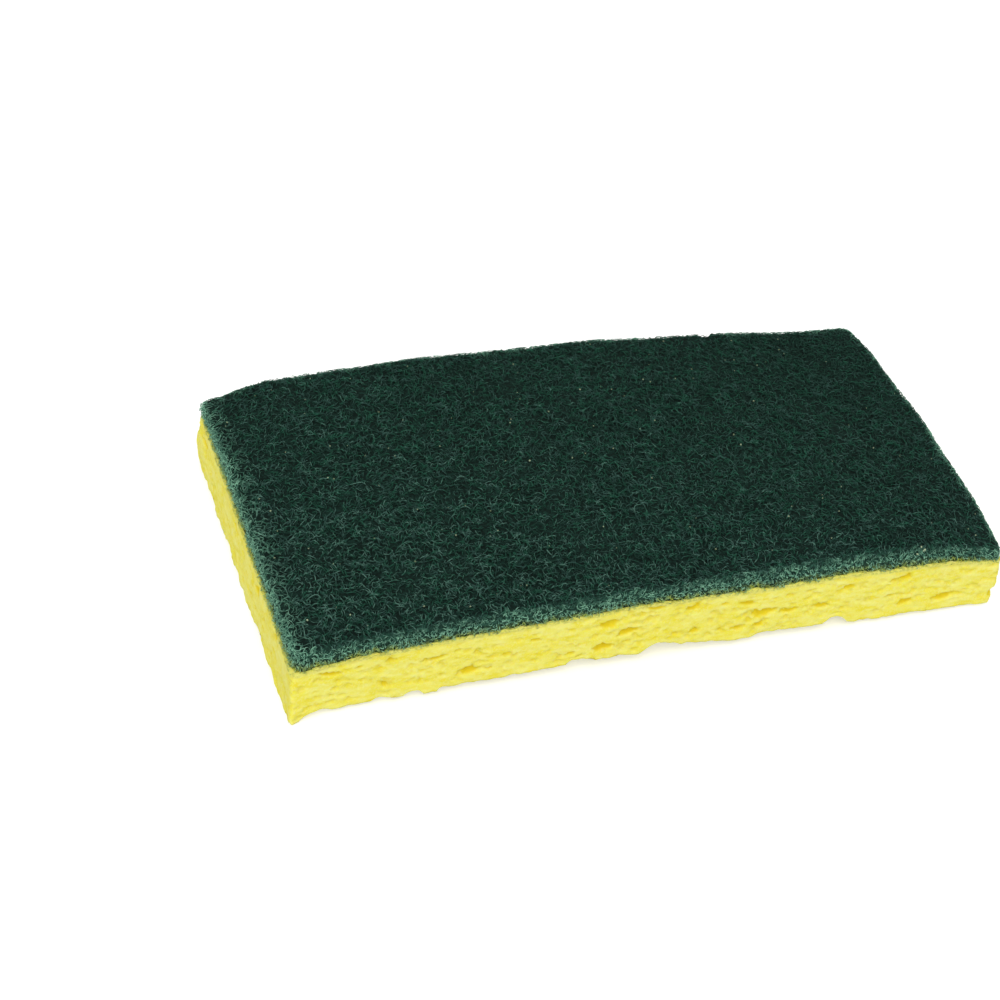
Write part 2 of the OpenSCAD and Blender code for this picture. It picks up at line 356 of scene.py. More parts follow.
def rulePores(side):                             # the pores that the solid has in that side
    _, _, _, half, first = side
    length = 2 * half / mm
    thick = block["spongeThick"] / mm
    pitch = sponge["sidePitch"]
    columns = math.floor((length - pitch) / pitch)
    rows = math.floor((thick - sponge["rowPitch"]) / sponge["rowPitch"]) + 1
    low, high = sponge["poreRange"]
    for c in range(columns + 1):
        for row in range(rows):
            n = first + c * rows + row
            a = low + (high - low) * chance(n + 300) ** 1.6
            x = (c - columns / 2) * pitch + 0.5 * pitch * (chance(n) - 0.5)
            z = (row + 0.5) * thick / rows + 1.2 * (chance(n + 600) - 0.5)
            clear = first or all(
                abs(x - p[0]) >= a + p[2] + 0.6 or abs(z - p[1] * thick) >= 2.6
                for p in sponge["largePores"])
            if chance(n + 900) < sponge["poreShare"] and clear:
                yield x, z, a, math.radians(16 * (chance(n + 900) - 0.5))


def sidePores(co, depth, onSides, rng):
    thick = block["spongeThick"]
    for name, side in sides.items():
        own = np.flatnonzero(onSides[name])
        lift = bowAt if name in ("front", "back") else lambda x: 0
        if name == "front":
            for x, rise, halfL, halfH, tilt in sponge["largePores"]:
                sidePore(co, depth, own, side, x * mm, rise * thick + bowAt(x * mm), halfL * mm,
                         halfH * mm, sponge["largeDeep"], -math.radians(tilt))
        for x, z, a, tilt in rulePores(side):
            sidePore(co, depth, own, side, x * mm, z * mm + lift(x * mm), a * mm,
                     a * sponge["poreFlat"] * mm, sponge["poreDeep"], tilt)
        for _ in range(int(sponge["finePores"] * side[3] / (2 * (halfLength + halfWidth)))):
            x = rng.uniform(-1, 1) * side[3]
            z = rng.uniform(0.03, 0.97) * thick + lift(x)
            a = mm * (sponge["fineRange"][0] + np.ptp(sponge["fineRange"]) * rng.random() ** 2.2)
            flat = rng.uniform(0.4, 0.8)
            tilt = rng.normal(0, 0.3)
            sidePore(co, depth, own, side, x, z, a, a * flat, sponge["fineDeep"], tilt, 0.18)


def undersidePores(co, depth, under, rng):
    for x, y, a in scattered(sponge["underPitch"], sponge["underRange"], 4000):
        if abs(abs(x) - archSpan) > a + mm:      # clear of the feet's inner edges
            h = a * sponge["underDeep"]
            r = (a * a + h * h) / (2 * h)
            hollowOut(co, depth, under, np.array((x, y, underAt(x) + h - r)), flatAxes, (r, r, r), 0.04)
    for _ in range(sponge["finePores"] // 2):
        x, y = rng.uniform(-1, 1) * halfLength, rng.uniform(-1, 1) * halfWidth
        a = mm * rng.uniform(0.5, 1.3)
        centre = np.array((x, y, underAt(x) - 0.4 * a))
        hollowOut(co, depth, under, centre, flatAxes, (a, a, a * rng.uniform(0.6, 1)), 0.15)


def bite(co, side, x, a, h, lean):               # the lower edge rises into a flat dome, steep on the left
    along, out, distance, _, _ = side
    u = co @ np.array(along, float) - x * mm
    w = distance - co @ np.array(out, float)
    low = np.zeros(len(co))
    if along[0] and abs(x) * mm < archSpan:      # the solid's bite follows the slope of the arch
        low = underAt(x * mm) - u * x * mm / archRadius
    slope = math.sin(math.radians(lean))
    drop = a * mm * slope
    rise = h * mm + drop
    r = ((a * mm) ** 2 + rise ** 2) / (2 * rise)
    fade = sponge["biteFade"] * mm
    near = np.flatnonzero((np.hypot(u, w) < a * mm) & (co[:, 2] - low < rise + fade))
    wave = 1 + 0.3 * noiseAt(co[near] * (1, 1, 0), 420, 7.7)
    dome = np.sqrt(r * r - u[near] ** 2 - w[near] ** 2) - (r - rise) - drop - u[near] * slope
    dome = np.maximum(dome * wave, 0)
    level = (co[near, 2] - low[near]) / (dome + fade)
    co[near, 2] += dome * np.clip(1 - level, 0, 1)


def biteLowerEdge(co, depth, skin):
    pitch = sponge["bitePitch"]
    for name, first in (("back", 8020), ("left", 8040), ("right", 8060)):
        places = math.floor((2 * sides[name][3] / mm - pitch) / pitch)
        for n in range(first, first + places + 1):
            a = sponge["biteRange"][0] + np.ptp(sponge["biteRange"]) * chance(n + 300)
            x = (n - first - places / 2) * pitch + 0.5 * pitch * (chance(n) - 0.5)
            bite(co, sides[name], x, a, a * sponge["poreFlat"], 0)
    for place in sponge["frontBites"]:
        bite(co, sides["front"], *place)
    for r, away, height in sponge["tornScoops"]:
        centre = np.array((halfLength + away * mm, -halfWidth - away * mm, height * mm))
        hollowOut(co, depth, skin, centre, np.eye(3), (r * mm,) * 3, 0.07)


def wearLowerEdge(co, normal):                   # ragged, worn most right at the edge
    above = co[:, 2] - underAt(co[:, 0])
    inside = np.minimum(halfLength - np.abs(co[:, 0]), halfWidth - np.abs(co[:, 1]))
    worn = np.exp(-((np.maximum(above, 0) ** 2 + np.maximum(inside, 0) ** 2) / sponge["edgeWear"] ** 2))
    fromTip = np.hypot(co[:, 0] + halfLength, co[:, 1] + halfWidth)
    worn *= 1 - np.exp(-(fromTip / sponge["sharpCorner"]) ** 2)
    ragged = noiseAt(co, 230, 3.7) + 0.6 * noiseAt(co, 620, 8.1)
    fromFoot = np.minimum(np.abs(archSpan - np.abs(co[:, 0])) / (4 * mm), 1)
    lift = np.where(np.abs(co[:, 0]) < archSpan, 1, 0.25) * fromFoot
    co[:, 2] += worn * (0.4 * ragged * lift + 0.12 * np.abs(ragged)) * mm
    co -= normal * (worn * (0.08 + 0.3 * ragged) * mm)[:, None]


def makeSponge():
    step = sponge["gridStep"]
    mesh = layerMesh("spongeBody", step, round(block["spongeThick"] / step), sponge["sideCuts"])
    start = coordsOf(mesh)
    edge = 0.9999
    onSides = {"front": start[:, 1] < -edge, "back": start[:, 1] > edge,
               "left": start[:, 0] < -edge, "right": start[:, 0] > edge}
    onSide = np.any(list(onSides.values()), axis=0)
    onUnder = start[:, 2] < -edge
    x, y = roundCorners(start[:, 0], start[:, 1], 0, block["spongeCorner"])
    low, high = underAt(x), bondAt(x)
    co = np.stack([x, y, low + (high - low) * (start[:, 2] + 1) / 2], 1)
    depth = np.zeros(len(co))
    normal = flatPoints(outside(co[:, :2], 0, block["spongeCorner"])[1])
    print("sponge grid:", len(co), "points")

    rng = np.random.default_rng(11)
    sidePores(co, depth, onSides, rng)
    undersidePores(co, depth, np.flatnonzero(onUnder), rng)
    print("sponge pores done")
    biteLowerEdge(co, depth, np.flatnonzero(onSide | onUnder))
    wearLowerEdge(co, normal)

    # the upper edge rises unevenly into the pad
    below = np.maximum(high - co[:, 2], 0)
    upper = np.exp(-(below / (0.5 * mm)) ** 2) * onSide
    fray = frayAt(co[:, :2]) + block["frayRise"]
    co[:, 2] += upper * fray
    co += normal * (upper * np.clip(fray, 0, 0.5 * mm))[:, None]

    # the open, felted skin between the pores
    coarse = noiseAt(co, 420, 1.3, (0.7, 0.7, 1.1))
    fine = noiseAt(co, 1100, 5.2, (0.8, 0.8, 1.1))
    skin = 0.09 * coarse + 0.08 * fine - 0.05
    out = np.where(onSide[:, None], normal, np.where(onUnder[:, None], (0, 0, -1), 0))
    co += out * (skin * mm)[:, None]
    setCoords(mesh, settle(co))
    addLayer(mesh, "poreDepth", depth / mm)
    addLayer(mesh, "bondShare", np.exp(-(below / sponge["bondReach"]) ** 2) * onSide)
    piece = newObject("spongeLayer", mesh)
    standFor(piece, "cellulose_sponge")
    return piece


padBody = {
    "gridStep": 1.15 * mm,
    "rows": 4,
    "sideCuts": 1,
    "sunk": 0.4 * mm,                            # the open web lies over the core
    "rim": 1.0 * mm,                             # radius that the upper edge is worn to
    "lumps": 0.22 * mm,
    "grain": 0.12 * mm,
    "fuller": 0.18 * mm,                         # the back and right rims are worn smooth and stand fuller
    "pitPitch": 9,
    "pitRange": (0.8, 2.0),
    "pitDeep": 0.3,
    "nick": (41.5 * mm, 1.0 * mm),               # place and radius
    "tintReach": 2.2 * mm,                       # height that the sponge's colour stains the web to
}

nickCentre = np.array((padBody["nick"][0], halfWidth + padBody["nick"][1] / 3))


def lumpsAt(co):                                 # the slow unevenness that core and fibres share
    return (noiseAt(co, 110, 2.2) + 0.7 * noiseAt(co, 330, 6.4)) * padBody["lumps"]


def makePadBody():
    mesh = layerMesh("padBody", padBody["gridStep"], padBody["rows"], padBody["sideCuts"])
    start = coordsOf(mesh)
    onTop = start[:, 2] > 0.9999
    onSide = np.abs(start[:, :2]).max(1) > 0.9999
    sunk = padBody["sunk"]
    radius = padRadius(start[:, 0], start[:, 1], sunk)
    x, y = roundCorners(start[:, 0], start[:, 1], sunk, radius)
    share = (start[:, 2] + 1) / 2
    low, high = bondAt(x), padTopAt(x) - sunk
    co = np.stack([x, y, low + (high - low) * share], 1)
    far, way = outside(co[:, :2], sunk, radius)
    normal = flatPoints(way)
    r = padBody["rim"]
    fuller = np.clip(1.4 * way.max(1), 0, 1) * np.clip(far / r + 1, 0, 1) * padBody["fuller"]
    for px, py, a in scattered(padBody["pitPitch"], padBody["pitRange"], 6000):
        h = a * padBody["pitDeep"]
        pit = (a * a + h * h) / (2 * h)
        centre = np.array((px, py, padTopAt(px) - sunk + pit - h))
        hollowOut(co, np.zeros(len(co)), np.flatnonzero(onTop), centre, flatAxes, (pit,) * 3, 0)

    # worn rim: points in the outer strip and the upper strip go onto one quarter round
    u, v = np.maximum(far + r, 0), np.maximum(co[:, 2] - (high - r), 0)
    near = (u > 0) & (v > 0)
    pull = np.where(near, np.maximum(u, v) / np.maximum(np.hypot(u, v), 1e-9), 1)
    co -= normal * (u * (1 - pull))[:, None]
    co[:, 2] -= v * (1 - pull)
    co += (normal + (0, 0, 1)) * fuller[:, None]
    lumps = lumpsAt(co) + padBody["grain"] * noiseAt(co, 900, 3.1)
    co[:, 2] += np.where(onTop, lumps, 0)
    co += normal * np.where(onSide & (share > 0.05), lumps, 0)[:, None]
    away = np.linalg.norm(co[:, :2] - nickCentre, axis=1)
    reach = padBody["nick"][1] + 2 * sunk
    inNick = away < reach
    co[inNick, :2] = nickCentre + (co[inNick, :2] - nickCentre) * (reach / away[inNick])[:, None]
    setCoords(mesh, settle(co))
    # paler round the rim and on the sides: partly the paler cut fibres, partly painted light
    addLayer(mesh, "rimShare", np.clip(far / r + 0.7, 0, 1) * np.where(onSide, 1, 0.4))
    above = share * block["padThick"]
    addLayer(mesh, "bondShare", np.clip(1 - above / padBody["tintReach"], 0, 1) * onSide)
    piece = newObject("padCore", mesh)
    standFor(piece, "scouring_pad")
    return piece


web = {
    "pieces": 4,
    "curls": 28000,                              # short ones
    "curlPoints": 6,
    "curlStep": 0.5 * mm,
    "strands": 900,                              # long ones
    "strandPoints": 10,
    "strandStep": 0.65 * mm,
    "stubs": 54000,                              # cut ones, kept on the sides only
    "stubPoints": 4,
    "stubStep": 0.42 * mm,
    "ends": 170,
    "endTuck": 0.4 * mm,                         # height over the bond line at which an end leaves
    "endGap": 6 * mm,                            # kept free of ends at each corner
    "radius": 0.09 * mm,
    "bend": (0.9, 5.5),                          # tightest and widest curl, in mm
    "layer": 0.55 * mm,                          # depth that the fibres lie in
    "proud": 0.15 * mm,                          # the highest stand over the plain form
    "wave": 0.24 * mm,                           # how far they dip and rise along their length
    "tuck": 0.25 * mm,                           # how far their tips turn down
    "clear": 0.5 * mm,                           # room that they leave round the nick
    "calm": (0.45, 0.3, 0.35),                   # in the middle, and its gain along and across
    "mottle": 1.4,                               # unevenness of the pale band, in mm
    # where the web turns pale, in mm round the rim from the flat top: from, to
    "paleFront": (0.4, 2.3),
    # the left side turns pale further in: painted light on the left
    "paleLeft": ((-4, -1), (-0.7, 1.1)),         # faintly at first, then fully
    "paleElse": (-0.9, 1.5),
    "frontStrip": 3 * mm,
    "leftStrip": 5 * mm,
    "leftTintReach": 3.2 * mm,
}


def calmAt(chart):                               # 0 at the near left, where the fibres are painted paler and with more contrast
    middle, alongGain, acrossGain = web["calm"]
    x, y = chart[..., 0] / halfLength, chart[..., 1] / halfWidth
    return np.clip(middle + acrossGain * y + alongGain * x, 0, 1)


def curlyPaths(rng, count, points, step):        # curling lines on a flat chart, count x points x 2
    heading = rng.uniform(0, 2 * math.pi, count)
    tight, wide = web["bend"]
    curl = rng.choice((-1, 1), count) / (tight + (wide - tight) * rng.random(count)) / mm
    swing = rng.normal(0, 0.25, count) / mm
    phase = rng.uniform(0, 2 * math.pi, count)
    at = np.zeros((count, 2))
    path = [at]
    for i in range(points - 1):
        turn = (curl + swing * math.sqrt(1 + i) * np.sin(phase + 0.9 * i)) * step
        heading = heading + turn
        at = at + step * np.stack([np.cos(heading), np.sin(heading)], 1)
        path.append(at)
    path = np.stack(path, 1)
    return path - path.mean(1, keepdims=True)


def wrapped(chart, sink):                        # over the pad, round its rim and down its sides
    r = padBody["rim"]
    far, way = outside(chart, r, padRadius(chart[..., 0], chart[..., 1], r))
    foot = chart - way * np.maximum(far, 0)[..., None]
    full = r * math.pi / 2 + block["padThick"] - r - frayAt(foot + way * r)
    far = np.where(far > full, 2 * full - far, far)
    worn = way.max(-1) * np.clip(far / r + 1, 0, 1) > 0.5    # the back and right rims
    sink = np.where(worn, np.maximum(sink, 0.04 * mm), sink)
    turn = np.clip(far / r, 0, math.pi / 2)
    fall = np.maximum(far - r * math.pi / 2, 0)
    flat = foot + way * ((r - sink) * np.sin(turn))[..., None]
    z = padTopAt(flat[..., 0]) - r + (r - sink) * np.cos(turn) - fall
    return np.concatenate([flat, z[..., None]], -1), far, full - far


def paleShares(chart, far, atLeft):              # how far each point has turned to the rim's paler colours
    place = flatPoints(chart)
    uneven = noiseAt(place, 260, 8.3) + 0.8 * noiseAt(place, 800, 1.9)
    beyond = far / mm + web["mottle"] * uneven.reshape(far.shape)
    atFront = chart[..., 1] < web["frontStrip"] - halfWidth
    rim = np.where(atFront, rampUp(beyond, *web["paleFront"]), 0.95 * rampUp(beyond, *web["paleElse"]))
    faint, strong = (rampUp(beyond, *stretch) for stretch in web["paleLeft"])
    return np.where(atLeft, 0.25 * faint + 0.75 * strong, rim)


def webFibres(rng, count, points, step, onSides):
    paths = curlyPaths(rng, count, points, step)
    r = padBody["rim"]
    more = r * math.pi / 2 + block["padThick"] - 2 * r    # what the sides add, folded out flat
    middle = rng.uniform(-1, 1, (count, 2)) * (halfLength + more, halfWidth + more)
    far = outside(middle, r, padRadius(middle[:, 0], middle[:, 1], r))[0]
    keep = (far > 0.6 * r) & (far < more + r) if onSides else far < 0.9 * r
    chart = (paths + middle[:, None, :])[keep]
    count = len(chart)
    t = np.linspace(-1, 1, points)[None, :]
    level = rng.random((count, 1)) ** 0.8
    dips = np.sin(t * rng.uniform(2, 7, (count, 1)) + rng.uniform(0, 6.3, (count, 1)))
    sink = web["layer"] * level + web["wave"] * dips + web["tuck"] * t ** 4 - web["proud"]
    calm = calmAt(chart)
    # painted shade: a fibre is painted darker the deeper it sinks into the web
    shade = rng.random((count, 1)) * (1 - 0.7 * rampUp(sink, 0, 0.5 * mm))
    shade = (0.3 + (shade - 0.3) * (0.92 - 0.5 * calm)) * (1.4 - 0.71 * calm)
    sink -= lumpsAt(flatPoints(chart)).reshape(sink.shape)
    path, far, left = wrapped(chart, sink)
    atLeft = chart[..., 0] < web["leftStrip"] - halfLength
    rim = paleShares(chart, far, atLeft)
    # painted light: the left rim is painted paler and with less contrast, as if lit from the left
    shade = np.where(atLeft, shade * (1 - 0.4 * rim) + 0.3 * rim, shade)
    bond = np.clip(1 - left / np.where(atLeft, web["leftTintReach"], padBody["tintReach"]), 0, 1)
    fromNick = np.linalg.norm(path[..., :2] - nickCentre, axis=-1)
    keep = (fromNick > padBody["nick"][1] + web["clear"]).all(1)
    return path[keep], shade[keep], rim[keep], bond[keep]


def cutEnds(rng, count):                         # short ends that hang over the sponge's upper edge
    r = padBody["rim"]
    tuck = web["endTuck"]
    full = r * math.pi / 2 + block["padThick"] - r
    span = np.array((halfLength, halfWidth)) - r
    onLong = rng.random(count) < span[0] / span.sum()
    side = rng.choice((-1, 1), count)
    along = rng.uniform(-1, 1, count) * (np.where(onLong, span[0], span[1]) - web["endGap"])
    slant = rng.normal(0, 0.9, count) * mm
    reach = rng.uniform(0.2, 0.85, count) ** 2 * mm
    path = []
    for t in (0, 0.35, 0.7, 1):
        a = along + slant * t
        out = np.where(onLong, span[1], span[0]) + full - tuck + (reach + tuck) * t
        chart = np.stack([np.where(onLong, a, side * out), np.where(onLong, side * out, a)], 1)
        sink = 0.2 * mm - 0.3 * mm * math.sin(2.4 * t)
        flat = wrapped(chart, np.full(count, sink))[0]
        flat[:, 2] = bondAt(flat[:, 0]) + tuck - (reach + tuck) * t
        path.append(flat)
    each = np.ones((count, len(path)))
    return np.stack(path, 1), rng.random((count, 1)) * each, 0.5 * each, 0.5 * each


def fibrePiece(name, groups, radius):            # each group: paths, then shade, rim and bond shares
    # three-sided tubes from poly curves, drawn out to a point at both ends
    profile = bpy.data.curves.new(name + "Section", "CURVE")
    profile.dimensions = "2D"
    ring = profile.splines.new("POLY")
    ring.points.add(2)
    for i, point in enumerate(ring.points):
        angle = i * 2 * math.pi / 3
        point.co = (radius * math.cos(angle), radius * math.sin(angle), 0, 1)
    ring.use_cyclic_u = True
    section = bpy.data.objects.new(name + "Section", profile)
    curve = bpy.data.curves.new(name, "CURVE")
    curve.dimensions = "3D"
    curve.bevel_mode = "OBJECT"
    curve.bevel_object = section
    for paths, *_ in groups:
        points = paths.shape[1]
        taper = np.ones(points)
        taper[[0, -1]] = 0
        girths = np.random.default_rng(len(paths)).uniform(0.7, 1.25, len(paths))
        paths = settle(paths.reshape(-1, 3)).reshape(paths.shape)
        for path, girth in zip(paths, girths):
            spline = curve.splines.new("POLY")
            spline.points.add(points - 1)
            spline.points.foreach_set("co", np.concatenate([path, np.ones((points, 1))], 1).ravel())
            spline.points.foreach_set("radius", taper * girth)
    source = newObject(name + "Curve", curve)
    bpy.context.view_layer.update()
    mesh = bpy.data.meshes.new_from_object(source.evaluated_get(bpy.context.evaluated_depsgraph_get()))
    mesh.name = name
    for old in (source, section):
        bpy.data.objects.remove(old)
    for old in (curve, profile):
        bpy.data.curves.remove(old)
    mesh.materials.clear()
    fibreCharts(mesh, [group[0].shape[:2] for group in groups])
    for i, layerName in enumerate(("fibreShade", "rimShare", "bondShare"), 1):
        addLayer(mesh, layerName, np.concatenate([np.repeat(group[i].ravel(), 3) for group in groups]))
    bm = bmesh.new()
    bm.from_mesh(mesh)
    bmesh.ops.remove_doubles(bm, verts=bm.verts, dist=0.001 * mm)
    bm.to_mesh(mesh)
    bm.free()
    return newObject(name, mesh)


def fibreCharts(mesh, sizes):                    # one cell of the unfolded picture for each fibre
    fibre, ringShare, sideShare = [], [], []
    total = 0
    for count, points in sizes:
        fibre.append(np.repeat(np.arange(total, total + count), points * 3))
        ringShare.append(np.tile(np.repeat(np.linspace(0, 1, points), 3), count))
        sideShare.append(np.tile((0, 1, 2), points * count))
        total += count
    fibre, ringShare, sideShare = map(np.concatenate, (fibre, ringShare, sideShare))
    cells = math.ceil(math.sqrt(total))
    corner = np.empty(len(mesh.loops), np.int32)
    mesh.loops.foreach_get("vertex_index", corner)
    counts = np.empty(len(mesh.polygons), np.int32)
    mesh.polygons.foreach_get("loop_total", counts)
    side = sideShare[corner].astype(float)
    owner = np.repeat(np.arange(len(counts)), counts)
    hasLast = np.zeros(len(counts), bool)
    hasMiddle = np.zeros(len(counts), bool)
    hasLast[owner[side == 2]] = True
    hasMiddle[owner[side == 1]] = True
    side[(hasLast & ~hasMiddle)[owner] & (side == 0)] = 3    # the face that closes the tube
    cell = fibre[corner]
    u = (cell % cells + 0.1 + 0.8 * ringShare[corner]) / cells
    v = (cell // cells + 0.1 + 0.8 * side / 3) / cells
    layer = mesh.uv_layers.get("OFBake") or mesh.uv_layers.new(name="OFBake")
    layer.data.foreach_set("uv", np.stack([u, v], 1).astype(np.float32).ravel())
    for extra in [l for l in mesh.uv_layers if l.name != "OFBake"]:
        mesh.uv_layers.remove(extra)


def makeWeb():
    pieces = []
    for number in range(web["pieces"]):
        rng = np.random.default_rng(40 + number)
        groups = [webFibres(rng, web[kind + "s"] // web["pieces"], web[kind + "Points"], web[kind + "Step"],
                            kind == "stub") for kind in ("curl", "strand", "stub")]
        if number == 0:
            groups.append(cutEnds(rng, web["ends"]))
        piece = fibrePiece("web%d" % (number + 1), groups, web["radius"])
        finishPiece(piece)
        pieces.append(piece)
    return pieces


specks = {                                       # in mm
    "count": 150,
    "radius": (0.09, 0.22),
    "edgeGap": 2,
    "cluster": (58.9, -41.3, 4),                 # along, across and how many
    "clusterSpread": 0.55,
    "clusterRadius": 0.24,
}


def makeSpecks():                                # pale specks over the web
    rng = np.random.default_rng(70)
    count = specks["count"]
    gap = specks["edgeGap"] * mm
    chart = rng.uniform(-1, 1, (count, 2)) * (halfLength - gap, halfWidth - gap)
    cx, cy, many = specks["cluster"]
    chart[:many] = np.array((cx, cy)) * mm + rng.normal(0, specks["clusterSpread"], (many, 2)) * mm
    place = settle(wrapped(chart, rng.uniform(-0.02, 0.25, count) * mm)[0])
    radii = rng.uniform(*specks["radius"], count) * mm
    radii[:many] = specks["clusterRadius"] * mm
    bm = bmesh.new()
    layer = bm.verts.layers.float.new("speckTone")
    uv = bm.loops.layers.uv.new("OFBake")
    cells = math.ceil(math.sqrt(count))
    for i, (centre, radius) in enumerate(zip(place, radii)):
        at = Matrix.Translation(centre)
        made = bmesh.ops.create_icosphere(bm, subdivisions=1, radius=radius, matrix=at)
        tone = 1 if i < many else 0.15 + 0.85 * rng.random()
        for vert in made["verts"]:
            vert.co += Vector(rng.normal(0, 0.22, 3)) * radius
            vert[layer] = tone
        for face in {f for v in made["verts"] for f in v.link_faces}:
            n = face.normal
            side = max(range(3), key=lambda k: abs(n[k]))
            for loop in face.loops:
                off = (loop.vert.co - Vector(centre)) / radius
                u, v = [off[k] for k in range(3) if k != side]
                turned = side * 2 + (n[side] > 0)
                loop[uv].uv = ((i % cells + (turned % 3 + 0.5 + 0.3 * u) / 3) / cells,
                               (i // cells + (turned // 3 + 0.5 + 0.3 * v) / 2) / cells)
    piece = newObject("webSpecks", meshFrom(bm, "webSpecks"))
    finishPiece(piece)
    return piece


class Wire:                                      # a socket that sums and products can be written with
    def __init__(self, tree, socket=None):
        self.tree, self.socket = tree, socket

    def node(self, kind, settings=None, inputs=None, output=0):
        made = self.tree.nodes.new(kind)
        for key, value in (settings or {}).items():
            if key == "stops":
                ramp = made.color_ramp
                while len(ramp.elements) < len(value):
                    ramp.elements.new(0.5)
                for element, (position, colour) in zip(ramp.elements, value):
                    element.position, element.color = position, colour
            else:
                setattr(made, key, value)
        for key, value in (inputs or {}).items():
            if isinstance(value, Wire):
                self.tree.links.new(value.socket, made.inputs[key])
            else:
                made.inputs[key].default_value = value
        return Wire(self.tree, made.outputs[output]) if made.outputs else None

    def maths(self, operation, first, second):
        return self.node("ShaderNodeMath", {"operation": operation}, {0: first, 1: second})

    def __add__(self, other):
        return self.maths("ADD", self, other)

    def __mul__(self, other):
        return self.maths("MULTIPLY", self, other)

    __radd__ = __add__
    __rmul__ = __mul__

    def ramp(self, low, high):                   # 0 below low, 1 above high, smooth between
        return self.node("ShaderNodeMapRange", {"interpolation_type": "SMOOTHSTEP"},
                         {0: self, 1: low, 2: high, 3: 0.0, 4: 1.0})

    def mix(self, first, second):                # colours, self is the share of the second
        return self.node("ShaderNodeMix", {"data_type": "RGBA"}, {0: self, 6: first, 7: second}, 2)


def newMaterial(name):
    material = bpy.data.materials.new(name)
    material.use_nodes = True
    tree = material.node_tree
    tree.nodes.clear()
    return material, tree, Wire(tree)


def paint(r, g, b):
    return (r, g, b, 1.0)


def noiseWire(start, place, scale, detail=2.0, rough=0.5):
    return start.node("ShaderNodeTexNoise", {"noise_dimensions": "3D"},
                      {"Vector": place, "Scale": scale, "Detail": detail, "Roughness": rough})


spongeFinish = {
    "lemon": paint(0.89, 0.80, 0.070),
    "pale": paint(0.93, 0.89, 0.24),
    "bloom": paint(0.95, 0.93, 0.40),            # the whitish grain of the skin
    "rich": paint(0.87, 0.75, 0.026),
    # painted shade: the darker golden colour that the pores take with their depth
    "deep": paint(0.84, 0.68, 0.020),
    # olive under the pad: partly the pad's green stain, partly painted shade under the pad's edge
    "olive": paint(0.30, 0.34, 0.05),
}


def spongeMaterial():
    material, tree, start = newMaterial("lemonCellulose")
    place = start.node("ShaderNodeTexCoord", output=3)
    drawn = start.node("ShaderNodeMapping", None, {"Vector": place, "Scale": (0.45, 0.45, 1.0)})
    broad = noiseWire(start, drawn, 330.0, 3.0).ramp(0.36, 0.66)
    streak = noiseWire(start, drawn, 1100.0, 3.0, 0.6).ramp(0.38, 0.68)
    blotch = noiseWire(start, drawn, 620.0, 2.0, 0.6).ramp(0.54, 0.70)
    depth = start.node("ShaderNodeAttribute", {"attribute_name": "poreDepth"}, output=2)
    bond = start.node("ShaderNodeAttribute", {"attribute_name": "bondShare"}, output=2)
    colour = (broad * 0.5 + streak * 0.5).mix(spongeFinish["lemon"], spongeFinish["pale"])
    colour = (blotch * 0.7).mix(colour, spongeFinish["rich"])
    grain = noiseWire(start, place, 2100.0, 2.0, 0.6).ramp(0.50, 0.68)
    colour = (grain * 0.4).mix(colour, spongeFinish["bloom"])
    # painted shade: the deeper a point lies in a pore, the darker golden it is painted
    colour = depth.ramp(0.02, 0.6).mix(colour, spongeFinish["deep"])
    # painted highlight: paler along the upper edge under the pad
    colour = (bond.ramp(0.05, 0.6) * 0.45).mix(colour, spongeFinish["pale"])
    # olive patches by the bond: partly stain from the pad, partly painted shade under the pad's edge
    stain = noiseWire(start, place, 1400.0, 3.0, 0.65).ramp(0.42, 0.62)
    colour = (bond.ramp(0.1, 0.95) * (stain * 0.45 + 0.14)).mix(colour, spongeFinish["olive"])
    height = noiseWire(start, drawn, 1900.0, 3.0, 0.6) + 0.6 * noiseWire(start, place, 3600.0, 1.0)
    bump = start.node("ShaderNodeBump", None, {"Strength": 0.45, "Distance": 0.00018, "Height": height})
    shader = start.node("ShaderNodeBsdfPrincipled", None, {
        "Base Color": colour, "Roughness": 0.85, "Normal": bump,
        "Subsurface Weight": 0.35, "Subsurface Radius": (1.0, 0.8, 0.2), "Subsurface Scale": 0.0012,
        "Specular IOR Level": 0.25})
    start.node("ShaderNodeOutputMaterial", None, {"Surface": shader})
    return material


padFinish = {
    # painted shade: the near-black gaps between the fibres
    "gap": paint(0.005, 0.013, 0.010),
    "core": paint(0.011, 0.037, 0.027),
    # rimCore here, and rimDark and rimLight below: the paler rim, partly paler cut fibres and partly
    # painted light on the sides
    "rimCore": paint(0.050, 0.150, 0.105),
    "fibreDark": paint(0.013, 0.046, 0.032),
    "fibreMid": paint(0.022, 0.110, 0.068),
    "fibreGrey": paint(0.041, 0.104, 0.085),
    "fibreLight": paint(0.104, 0.225, 0.175),
    "rimDark": paint(0.100, 0.275, 0.190),
    "rimLight": paint(0.325, 0.655, 0.460),
    "olive": paint(0.60, 0.66, 0.08),            # tinted by the sponge at the bond line
    "speckDull": paint(0.11, 0.15, 0.07),
    "speckPale": paint(0.52, 0.62, 0.40),
}


def padCoreMaterial():
    material, tree, start = newMaterial("webCore")
    place = start.node("ShaderNodeTexCoord", output=3)
    rim = start.node("ShaderNodeAttribute", {"attribute_name": "rimShare"}, output=2)
    strand = noiseWire(start, place, 1300.0, 3.0, 0.65).ramp(0.42, 0.66)
    # painted shade: near-black gaps between the strands, deep in the web
    colour = strand.mix(padFinish["gap"], padFinish["core"])
    colour = (rim * (0.25 + 0.75 * strand)).mix(colour, padFinish["rimCore"])
    bond = start.node("ShaderNodeAttribute", {"attribute_name": "bondShare"}, output=2)
    colour = (bond * strand * 0.4).mix(colour, padFinish["olive"])
    height = noiseWire(start, place, 1700.0, 3.0, 0.7)
    bump = start.node("ShaderNodeBump", None, {"Strength": 0.8, "Distance": 0.0003, "Height": height})
    shader = start.node("ShaderNodeBsdfPrincipled", None, {
        "Base Color": colour, "Roughness": 0.95, "Normal": bump, "Specular IOR Level": 0.1})
    start.node("ShaderNodeOutputMaterial", None, {"Surface": shader})
    return material


